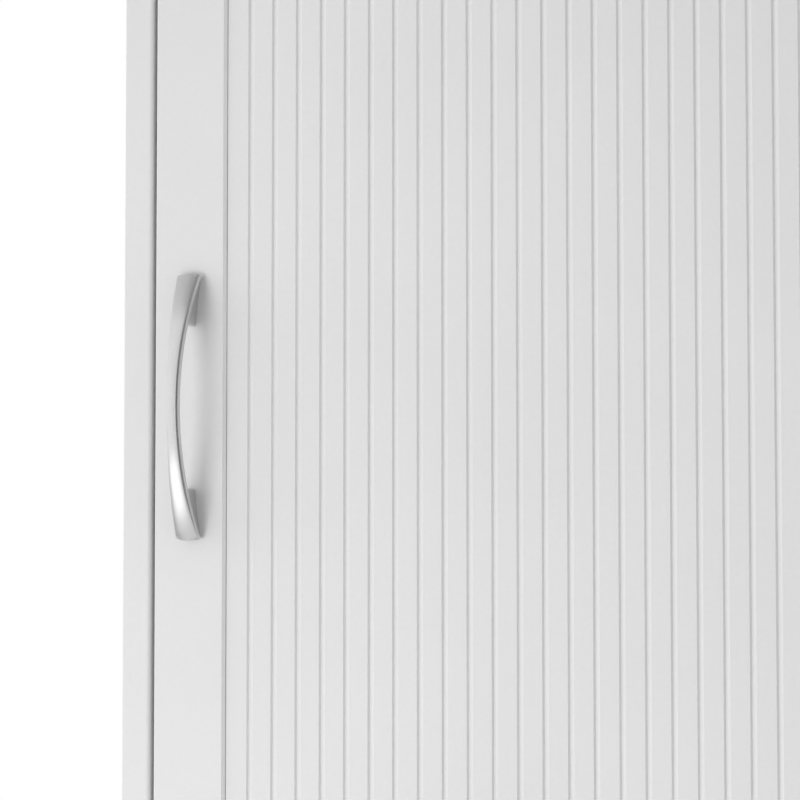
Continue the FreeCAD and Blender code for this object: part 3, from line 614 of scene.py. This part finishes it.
class CABINET_OT_door_frame(bpy.types.Operator):
    """Models the stiles and rails of the door with their panel slots and eased edges"""
    bl_idname = "cabinet.door_frame"
    bl_label = "Door Frame"

    def execute(self, context):
        sizes = context.scene.cabinet_boards
        panel = context.scene.cabinet_panel
        for node, name in (("door_latch_stile", "latch_stile"), ("door_hinge_stile", "hinge_stile")):
            low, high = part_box(node)
            inner = high.x if name == "latch_stile" else low.x
            into = -1 if name == "latch_stile" else 1
            piece = block(name, low, high)
            self.cut_slot(piece, panel, 0, inner, into)
            self.stile_chamfer(piece, inner, into * sizes.sight_chamfer)
            choose(piece, "edges", lambda edge: self.stile_edge(edge, low, high, inner))
            ease(sizes.edge_round, sizes.round_steps)
            settle(piece, "door", "white_paint", node)

        left, right = sight_low.x, sight_high.x
        for node, name in (("door_bottom_rail", "bottom_rail"), ("door_top_rail", "top_rail")):
            low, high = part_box(node)
            low.x, high.x = left, right
            inner = high.z if name == "bottom_rail" else low.z
            into = -1 if name == "bottom_rail" else 1
            piece = block(name, low, high)
            self.cut_slot(piece, panel, 2, inner, into)
            for x, way in ((left, -1), (right, 1)):
                choose(piece, "faces", lambda face: self.in_slot(face, panel, 0, 0, x))
                push((way * (panel.panel_seat - panel.panel_play), 0, 0))
            sharp = inner + into * sizes.sight_chamfer
            slice_at((0, 0, sharp), (0, 0, 1))
            choose(piece, "verts", lambda vert: near(vert.co.y, low.y) and near(vert.co.z, inner))
            bpy.ops.transform.translate(value=(0, sizes.sight_chamfer, 0))
            choose(piece, "edges", lambda edge: self.rail_edge(edge, low, high, sharp))
            ease(sizes.edge_round, sizes.round_steps)
            choose(piece, "edges", lambda edge: self.rail_end(edge, low, left, right))
            ease(sizes.joint_line, 1)
            settle(piece, "door", "white_paint", node)
        return {"FINISHED"}

    def cut_slot(self, piece, panel, axis, inner, into):
        """Cuts the slot for the panel's tongue along an inner edge, open at both ends."""
        for y in (panel_low.y + panel.panel_raise - panel.panel_fit, panel_high.y + panel.panel_fit):
            slice_at((0, y, 0), (0, 1, 0))
        step = Vector((0, 0, 0))
        step[axis] = into * panel.panel_seat
        mouth = Vector((0, 0, 0))
        mouth[axis] = inner
        slice_at(mouth + step, step.normalized())
        choose(piece, "faces", lambda face: self.in_slot(face, panel, axis, axis, inner))
        push(step)
        middle = inner + step[axis] / 2
        choose(piece, "faces", lambda face: self.in_slot(face, panel, 2 - axis, axis, middle))
        bpy.ops.mesh.delete(type="FACE")
        bpy.ops.mesh.select_all(action="SELECT")
        bpy.ops.mesh.remove_doubles(threshold=WELD)

    def stile_chamfer(self, piece, inner, step):
        """Slopes the edge round the panel, with a mitre at each end for the rails."""
        chamfer = abs(step)
        slice_at((inner + step, 0, 0), (1, 0, 0))
        for z in (sight_low.z - chamfer, sight_low.z, sight_high.z, sight_high.z + chamfer):
            slice_at((0, 0, z), (0, 0, 1))
        edge = [Vector((inner, stile_low.y, z)) for z in (sight_low.z, sight_high.z)]
        choose(piece, "verts", lambda vert: at_any(vert, edge))
        bpy.ops.transform.translate(value=(0, chamfer, 0))
        for z, way in ((sight_low.z, -1), (sight_high.z, 1)):
            ends = [
                Vector((inner, stile_low.y + chamfer, z)),
                Vector((inner + step, stile_low.y, z + way * chamfer)),
            ]
            choose(piece, "verts", lambda vert: at_any(vert, ends))
            bpy.ops.mesh.vert_connect()

    def in_slot(self, face, panel, facing, axis, place):
        """Whether a face of the slot looks along one axis and has its middle at a place on an axis."""
        centre = face.calc_center_median()
        within = panel_low.y + panel.panel_raise < centre.y < panel_high.y
        return abs(face.normal[facing]) > FACING and near(centre[axis], place) and within

    def on_faces(self, edge, low, high):
        """Whether an edge lies on the front or the back of the door."""
        return edge_at(edge, y=low.y) or edge_at(edge, y=high.y)

    def rail_edge(self, edge, low, high, sharp):
        """Whether an edge of a rail is one that the maker eases."""
        along = runs_along(edge, 0) and self.on_faces(edge, low, high)
        return along and not edge_at(edge, y=low.y, z=sharp)

    def stile_edge(self, edge, low, high, inner):
        """Whether an edge of a stile is one that the maker eases."""
        if not self.on_faces(edge, low, high):
            return False
        if edge_at(edge, z=low.z) or edge_at(edge, z=high.z):
            return True
        middle = (edge.verts[0].co.z + edge.verts[1].co.z) / 2
        outer = low.x if near(inner, high.x) else high.x
        rear = edge_at(edge, x=inner, y=high.y) and sight_low.z < middle < sight_high.z
        return edge_at(edge, x=outer) or rear

    def rail_end(self, edge, low, left, right):
        """Whether an edge is where a rail's front meets a stile."""
        ends = edge_at(edge, x=left) or edge_at(edge, x=right)
        return ends and edge_at(edge, y=low.y)


class CABINET_OT_door_panel(bpy.types.Operator):
    """Models the door panel with its row of grooves, steep on the left and gentle on the right"""
    bl_idname = "cabinet.door_panel"
    bl_label = "Door Panel"

    def execute(self, context):
        sizes = context.scene.cabinet_panel
        front = panel_low.y
        gap = Vector((1, 0, 1)) * sizes.panel_gap
        low, high = sight_low + gap, sight_high - gap
        span = (sizes.groove_count - 1) * sizes.groove_pitch
        first = (low.x + high.x - span) / 2
        half = sizes.groove_width / 2
        if sizes.groove_depth > sizes.panel_raise:
            raise RuntimeError("a groove goes through the raised field of the panel")

        bpy.ops.mesh.primitive_plane_add(size=1, rotation=(math.pi / 2, 0, 0))
        piece = bpy.context.object
        piece.name = "grooved_panel"
        piece.data.name = "grooved_panel"
        land = sizes.groove_pitch - sizes.groove_width
        piece.scale = (land, high.z - low.z, 1)
        piece.location = (first - half - land / 2, front, (low.z + high.z) / 2)
        bpy.ops.object.transform_apply(location=True, rotation=True, scale=True)

        bpy.ops.object.mode_set(mode="EDIT")
        choose(piece, "edges", lambda edge: runs_along(edge, 2) and edge_at(edge, x=first - half))
        bottom = first - half + sizes.groove_bottom
        push((sizes.groove_bottom, sizes.groove_depth, 0))
        push((sizes.groove_width - sizes.groove_bottom, -sizes.groove_depth, 0))
        choose(piece, "edges", lambda edge: runs_along(edge, 2) and edge_at(edge, x=bottom))
        ease(sizes.groove_round, sizes.groove_steps)
        bpy.ops.object.mode_set(mode="OBJECT")
        repeat(piece, (sizes.groove_pitch, 0, 0), sizes.groove_count, join=True)

        bpy.ops.object.mode_set(mode="EDIT")
        last = first + span + half
        start = first - half - land
        choose(piece, "edges", lambda edge: edge_at(edge, x=last))
        push((high.x - last, 0, 0))
        choose(piece, "verts", lambda vert: near(vert.co.x, start))
        bpy.ops.transform.translate(value=(low.x - start, 0, 0))
        bpy.ops.mesh.select_all(action="SELECT")
        rear = front + sizes.panel_raise
        push((0, rear - front, 0))
        bpy.ops.transform.resize(value=(1, 0, 1), center_override=(0, rear, 0))
        push((0, 0, 0))
        wider = [(panel_high[axis] - panel_low[axis]) / (high[axis] - low[axis]) for axis in (0, 2)]
        bpy.ops.transform.resize(value=(wider[0], 1, wider[1]), center_override=(low + high) / 2)
        push((0, panel_high.y - rear, 0))
        settle(piece, "door", "white_paint", "door_panel", smooth=20)
        return {"FINISHED"}


def bow_height(along, half, peak, tip):
    """The height over the door of an arc with a given peak and a given height at its tips."""
    rise = peak - tip
    radius = (half ** 2 + rise ** 2) / (2 * rise)
    return peak - radius + math.sqrt(radius ** 2 - along ** 2)


class CABINET_OT_handle(bpy.types.Operator):
    """Models the bowed handle: narrow at the waist, wide at the tips, on two feet"""
    bl_idname = "cabinet.handle"
    bl_label = "Handle"

    def execute(self, context):
        sizes = context.scene.cabinet_handle
        across = (handle_low.x + handle_high.x) / 2
        middle = (handle_low.z + handle_high.z) / 2
        half = (handle_high.z - handle_low.z) / 2
        half_end = (handle_high.x - handle_low.x) / 2
        front = stile_low.y
        reach = front - handle_low.y

        # Lines along the bow, as shares of its half width, with room for the rounds outside them.
        columns = (-0.66, -0.5, -0.3, -0.1, 0.1, 0.3, 0.5, 0.66)
        piece = block("bow_handle", (-1, -THIN, -half), (1, THIN, half))
        for place in columns:
            slice_at((place, 0, 0), (1, 0, 0))
        for step in range(1, 2 * sizes.ring_count):
            slice_at((0, 0, -half + step * half / sizes.ring_count), (0, 0, 1))
        outer = -THIN
        choose(piece, "edges", lambda edge: self.front_edge(edge, outer))
        bpy.ops.mesh.mark_seam()
        for place in columns:
            choose(piece, "verts", lambda vert: near(vert.co.y, outer) and near(vert.co.x, place))
            bpy.ops.transform.translate(value=(0, -THIN * (1 - place ** 2), 0))

        for step in range(2 * sizes.ring_count + 1):
            along = -half + step * half / sizes.ring_count
            flare = (along / half) ** 2
            width = sizes.waist_width / 2 + (half_end - sizes.waist_width / 2) * flare
            crown = sizes.waist_crown + (sizes.end_crown - sizes.waist_crown) * flare
            top = bow_height(along, half, reach, sizes.tip_height) - crown
            under = bow_height(along, half, reach - sizes.waist_depth, sizes.tip_height - sizes.tip_depth)
            choose(piece, "verts", lambda vert: near(vert.co.z, along))
            bpy.ops.transform.resize(value=(width, 1, 1), center_override=(0, 0, 0))
            choose(piece, "verts", lambda vert: near(vert.co.z, along) and vert.co.y < 0)
            bpy.ops.transform.resize(value=(1, crown / THIN, 1), center_override=(0, outer, 0))
            bpy.ops.transform.translate(value=(0, -top - outer, 0))
            choose(piece, "verts", lambda vert: near(vert.co.z, along) and near(vert.co.y, THIN))
            bpy.ops.transform.translate(value=(0, -under - THIN, 0))
        for place in (-1, *columns, 1):
            x = place * half_end
            for end, bow in ((-1, sizes.lower_end_bow), (1, sizes.upper_end_bow)):
                choose(piece, "verts", lambda vert: near(vert.co.z, end * half) and near(vert.co.x, x))
                bpy.ops.transform.translate(value=(0, 0, -end * bow * place ** 2))
        choose(piece, "edges", lambda edge: edge.seam)
        bpy.ops.mesh.mark_seam(clear=True)
        ease(sizes.edge_roll, sizes.roll_steps, sizes.roll_fullness)
        bpy.ops.mesh.select_all(action="DESELECT")
        bpy.ops.mesh.edges_select_sharp(sharpness=sizes.sharp_angle)
        ease(sizes.edge_ease, sizes.ease_steps)
        bpy.ops.mesh.select_all(action="SELECT")
        bpy.ops.transform.translate(value=(across, front, middle))
        bpy.ops.object.mode_set(mode="OBJECT")
        for end in (-1, 1):
            combine(piece, self.foot(sizes, end, half, reach, across, front, middle), "UNION")
        settle(piece, "door", "satin_nickel", "handle")
        return {"FINISHED"}

    def front_edge(self, edge, outer):
        """Whether an edge runs along the bow at a side of its front."""
        return runs_along(edge, 2) and edge_at(edge, y=outer) and near(abs(edge.verts[0].co.x), 1)

    def foot(self, sizes, end, half, reach, across, front, middle):
        """A foot that widens towards the tip and goes up into the bow."""
        inner, outer = end * sizes.foot_inner, end * sizes.foot_outer
        side = sizes.foot_inner_width / 2
        foot = block("foot", (-side, -THIN, min(inner, outer)), (side, 0, max(inner, outer)))
        choose(foot, "verts", lambda vert: near(vert.co.z, outer))
        wider = sizes.foot_outer_width / sizes.foot_inner_width
        bpy.ops.transform.resize(value=(wider, 1, 1), center_override=(0, 0, 0))
        peak = reach - sizes.waist_depth / 2
        tip = sizes.tip_height - sizes.tip_depth / 2
        for along in (inner, outer):
            height = bow_height(along, half, peak, tip)
            choose(foot, "verts", lambda vert: near(vert.co.z, along) and near(vert.co.y, -THIN))
            bpy.ops.transform.translate(value=(0, THIN - height, 0))
        choose(foot, "edges", lambda edge: runs_along(edge, 1) and edge_at(edge, z=inner))
        ease(sizes.foot_round, sizes.foot_steps)
        bpy.ops.mesh.select_all(action="SELECT")
        bpy.ops.transform.translate(value=(across, front, middle))
        bpy.ops.object.mode_set(mode="OBJECT")
        return foot


class CABINET_OT_stage(bpy.types.Operator):
    """Sets up the floor, the room, the lamps, the cards that the metal mirrors and the camera"""
    bl_idname = "cabinet.stage"
    bl_label = "Stage"

    def execute(self, context):
        stage = context.scene.cabinet_stage
        self.floor(stage)
        self.room(context, stage)
        door = Vector(((handle_low.x + handle_high.x) / 2, stile_low.y, (handle_low.z + handle_high.z) / 2))
        reach = stage.lamp_distance
        self.lamp(
            "front_lamp", door, turn=-20, rise=-15, distance=reach, size=0.5,
            power=stage.front_power, mirrored=False)
        self.lamp(
            "low_lamp", door, turn=-28, rise=-39, distance=reach, size=0.7,
            power=stage.low_power, mirrored=True)
        # Painted reflection in the handle: the flag paints a darker room to the right, the hood a darker
        # ceiling and the side card a dimmer lower left. They neither light nor shadow the cabinet.
        self.card(
            "flag", door, turn=40, rise=0, distance=1.0, size=(3.2, 2.7),
            tones=(stage.flag_light, stage.flag_dark), span=(-0.18, 0.4))
        self.card(
            "hood", door, turn=-10, rise=79, distance=1.25, size=(2.2, 1.2),
            tones=(stage.hood_light, stage.hood_dark), span=(-0.5, 0.0))
        self.card(
            "side", door, turn=-108, rise=-36, distance=1.0, size=(1.3, 1.0),
            tones=(stage.side_light, stage.side_dark), span=(-1.0, -0.5))
        turn = Euler((math.pi / 2 + stage.camera_pitch, 0, stage.camera_yaw)).to_matrix()
        bpy.ops.object.camera_add(location=stage.camera_place)
        camera = bpy.context.object
        camera.rotation_euler = (turn @ Matrix.Rotation(stage.camera_roll, 3, "Z")).to_euler()
        camera.data.sensor_fit = "HORIZONTAL"
        camera.data.sensor_width = 36.0
        camera.data.lens = stage.camera_lens
        context.scene.camera = camera
        context.scene.view_settings.view_transform = "Standard"
        return {"FINISHED"}

    def floor(self, stage):
        """A wide pale floor that fades to the white of the room."""
        bpy.ops.mesh.primitive_plane_add(size=stage.floor_size, location=(0, 0, 0))
        floor = bpy.context.object
        floor.name = "floor"
        group = bpy.data.node_groups["film"]
        material = surface(
            "floor_paint", group, depth=0.00005, Light=stage.floor_tone, Shade=stage.floor_drift,
            Smooth=0.5, Rough=0.6, Peel=200.0)
        tree = material.node_tree
        place = tree.nodes.new("ShaderNodeTexCoord")
        reach = tree.nodes.new("ShaderNodeVectorMath")
        reach.operation = "LENGTH"
        tree.links.new(place.outputs["Object"], reach.inputs[0])
        far = spread(tree, reach.outputs["Value"], 0.0, 1.0, stage.fade_start, stage.fade_end)
        white = tree.nodes.new("ShaderNodeEmission")
        mix = tree.nodes.new("ShaderNodeMixShader")
        tree.links.new(sums(tree, "MULTIPLY", far, self.seen(tree)), mix.inputs["Fac"])
        tree.links.new(tree.nodes["Principled BSDF"].outputs["BSDF"], mix.inputs[1])
        tree.links.new(white.outputs["Emission"], mix.inputs[2])
        tree.links.new(mix.outputs["Shader"], tree.nodes["Material Output"].inputs["Surface"])
        floor.data.materials.append(material)

    def seen(self, tree):
        """Whether a ray shows the background: to the camera, through glass or in gloss."""
        path = tree.nodes.new("ShaderNodeLightPath")
        seen = sums(tree, "MAXIMUM", path.outputs["Is Camera Ray"], path.outputs["Is Transmission Ray"])
        return sums(tree, "MAXIMUM", seen, path.outputs["Is Glossy Ray"])

    def room(self, context, stage):
        """A room with its own light on each side, which shows white behind the object and in gloss."""
        world = bpy.data.worlds.new("room")
        context.scene.world = world
        world.use_nodes = True
        tree = world.node_tree
        tree.nodes.clear()
        place = tree.nodes.new("ShaderNodeTexCoord")
        axes = tree.nodes.new("ShaderNodeSeparateXYZ")
        tree.links.new(place.outputs["Generated"], axes.inputs["Vector"])
        level = 0.0
        for axis, way, strength in (
                ("X", -1.0, stage.left_light), ("X", 1.0, stage.right_light),
                ("Y", -1.0, stage.front_light), ("Y", 1.0, stage.rear_light), ("Z", 1.0, stage.upper_light)):
            facing = sums(tree, "MAXIMUM", sums(tree, "MULTIPLY", axes.outputs[axis], way), 0.0)
            lobe = sums(tree, "POWER", facing, 2.0)
            level = sums(tree, "ADD", level, sums(tree, "MULTIPLY", lobe, strength))
        light = tree.nodes.new("ShaderNodeBackground")
        tree.links.new(level, light.inputs["Strength"])
        white = tree.nodes.new("ShaderNodeBackground")
        white.inputs["Strength"].default_value = 1.0
        for background in (light, white):
            background.inputs["Color"].default_value = (1, 1, 1, 1)
        mix = tree.nodes.new("ShaderNodeMixShader")
        output = tree.nodes.new("ShaderNodeOutputWorld")
        tree.links.new(self.seen(tree), mix.inputs["Fac"])
        tree.links.new(light.outputs["Background"], mix.inputs[1])
        tree.links.new(white.outputs["Background"], mix.inputs[2])
        tree.links.new(mix.outputs["Shader"], output.inputs["Surface"])

    def aim(self, turn, rise):
        """The direction that is turned and raised by some degrees from straight in front of the door."""
        turn, rise = math.radians(turn), math.radians(rise)
        return Vector((math.sin(turn) * math.cos(rise), -math.cos(turn) * math.cos(rise), math.sin(rise)))

    def card(self, name, target, turn, rise, distance, size, tones, span):
        """A card that faces a point and shows only in gloss, graded along X over a span from that point: its
        grade is a painted reflection, pale to dark, of the room's light falling off.
        """
        direction = self.aim(turn, rise)
        bpy.ops.mesh.primitive_plane_add(size=1, location=target + direction * distance)
        card = bpy.context.object
        card.name = name
        card.rotation_euler = direction.to_track_quat("Z", "Y").to_euler()
        card.scale = (*size, 1)
        bpy.ops.object.transform_apply(location=True, rotation=True, scale=True)
        material, tree, shader, place = bare_material(name + "_paint")
        axes = tree.nodes.new("ShaderNodeSeparateXYZ")
        tree.links.new(place, axes.inputs["Vector"])
        # Painted reflection: the tone grades from pale to dark across the card, standing in for the light
        # falling off in the room that the metal mirrors.
        grade = spread(tree, axes.outputs["X"], 0.0, 1.0, target.x + span[0], target.x + span[1])
        ends = []
        for colour in tones:
            ends.append(tree.nodes.new("ShaderNodeRGB"))
            ends[-1].outputs["Color"].default_value = (*colour, 1.0)
        colour = blend_tones(tree, grade, ends[0].outputs["Color"], ends[1].outputs["Color"])
        tree.links.new(colour, shader.inputs["Base Color"])
        shader.inputs["Roughness"].default_value = 0.7
        card.data.materials.append(material)
        card.visible_camera = False
        card.visible_diffuse = False
        card.visible_transmission = False
        card.visible_shadow = False

    def lamp(self, name, target, turn, rise, distance, size, power, mirrored):
        """A soft square lamp that faces a point, turned and raised in degrees from straight before it."""
        direction = self.aim(turn, rise)
        bpy.ops.object.light_add(type="AREA", location=target + direction * distance)
        lamp = bpy.context.object
        lamp.name = name
        lamp.rotation_euler = (-direction).to_track_quat("-Z", "Y").to_euler()
        lamp.data.shape = "SQUARE"
        lamp.data.size = size
        lamp.data.energy = power
        lamp.visible_camera = False
        lamp.visible_glossy = mirrored


class CABINET_PT_pieces(bpy.types.Panel):
    """Lists the steps that build the cabinet and the sizes they use"""
    bl_idname = "CABINET_PT_pieces"
    bl_label = "Cabinet"
    bl_space_type = "VIEW_3D"
    bl_region_type = "UI"
    bl_category = "Cabinet"

    def draw(self, context):
        column = self.layout.column()
        for operator in OPERATORS:
            column.operator(operator.bl_idname)
        for name in GROUPS:
            group = getattr(context.scene, name)
            box = self.layout.box()
            for key in group.__annotations__:
                box.prop(group, key)


GROUPS = {
    "cabinet_boards": CabinetBoardSizes,
    "cabinet_panel": CabinetPanelSizes,
    "cabinet_handle": CabinetHandleSizes,
    "cabinet_finishes": CabinetFinishes,
    "cabinet_stage": CabinetStage,
}
OPERATORS = (
    CABINET_OT_finishes,
    CABINET_OT_side_boards,
    CABINET_OT_door_frame,
    CABINET_OT_door_panel,
    CABINET_OT_handle,
    CABINET_OT_stage,
)


def register():
    for group in GROUPS.values():
        bpy.utils.register_class(group)
    for name, group in GROUPS.items():
        setattr(bpy.types.Scene, name, PointerProperty(type=group))
    for operator in OPERATORS:
        bpy.utils.register_class(operator)
    bpy.utils.register_class(CABINET_PT_pieces)


def unregister():
    bpy.utils.unregister_class(CABINET_PT_pieces)
    for operator in reversed(OPERATORS):
        bpy.utils.unregister_class(operator)
    for name, group in reversed(GROUPS.items()):
        delattr(bpy.types.Scene, name)
        bpy.utils.unregister_class(group)


def main():
    """Builds the whole scene."""
    register()
    bpy.ops.cabinet.finishes()
    bpy.ops.cabinet.side_boards()
    bpy.ops.cabinet.door_frame()
    bpy.ops.cabinet.door_panel()
    bpy.ops.cabinet.handle()
    bpy.ops.cabinet.stage()


if __name__ == "__main__":
    main()
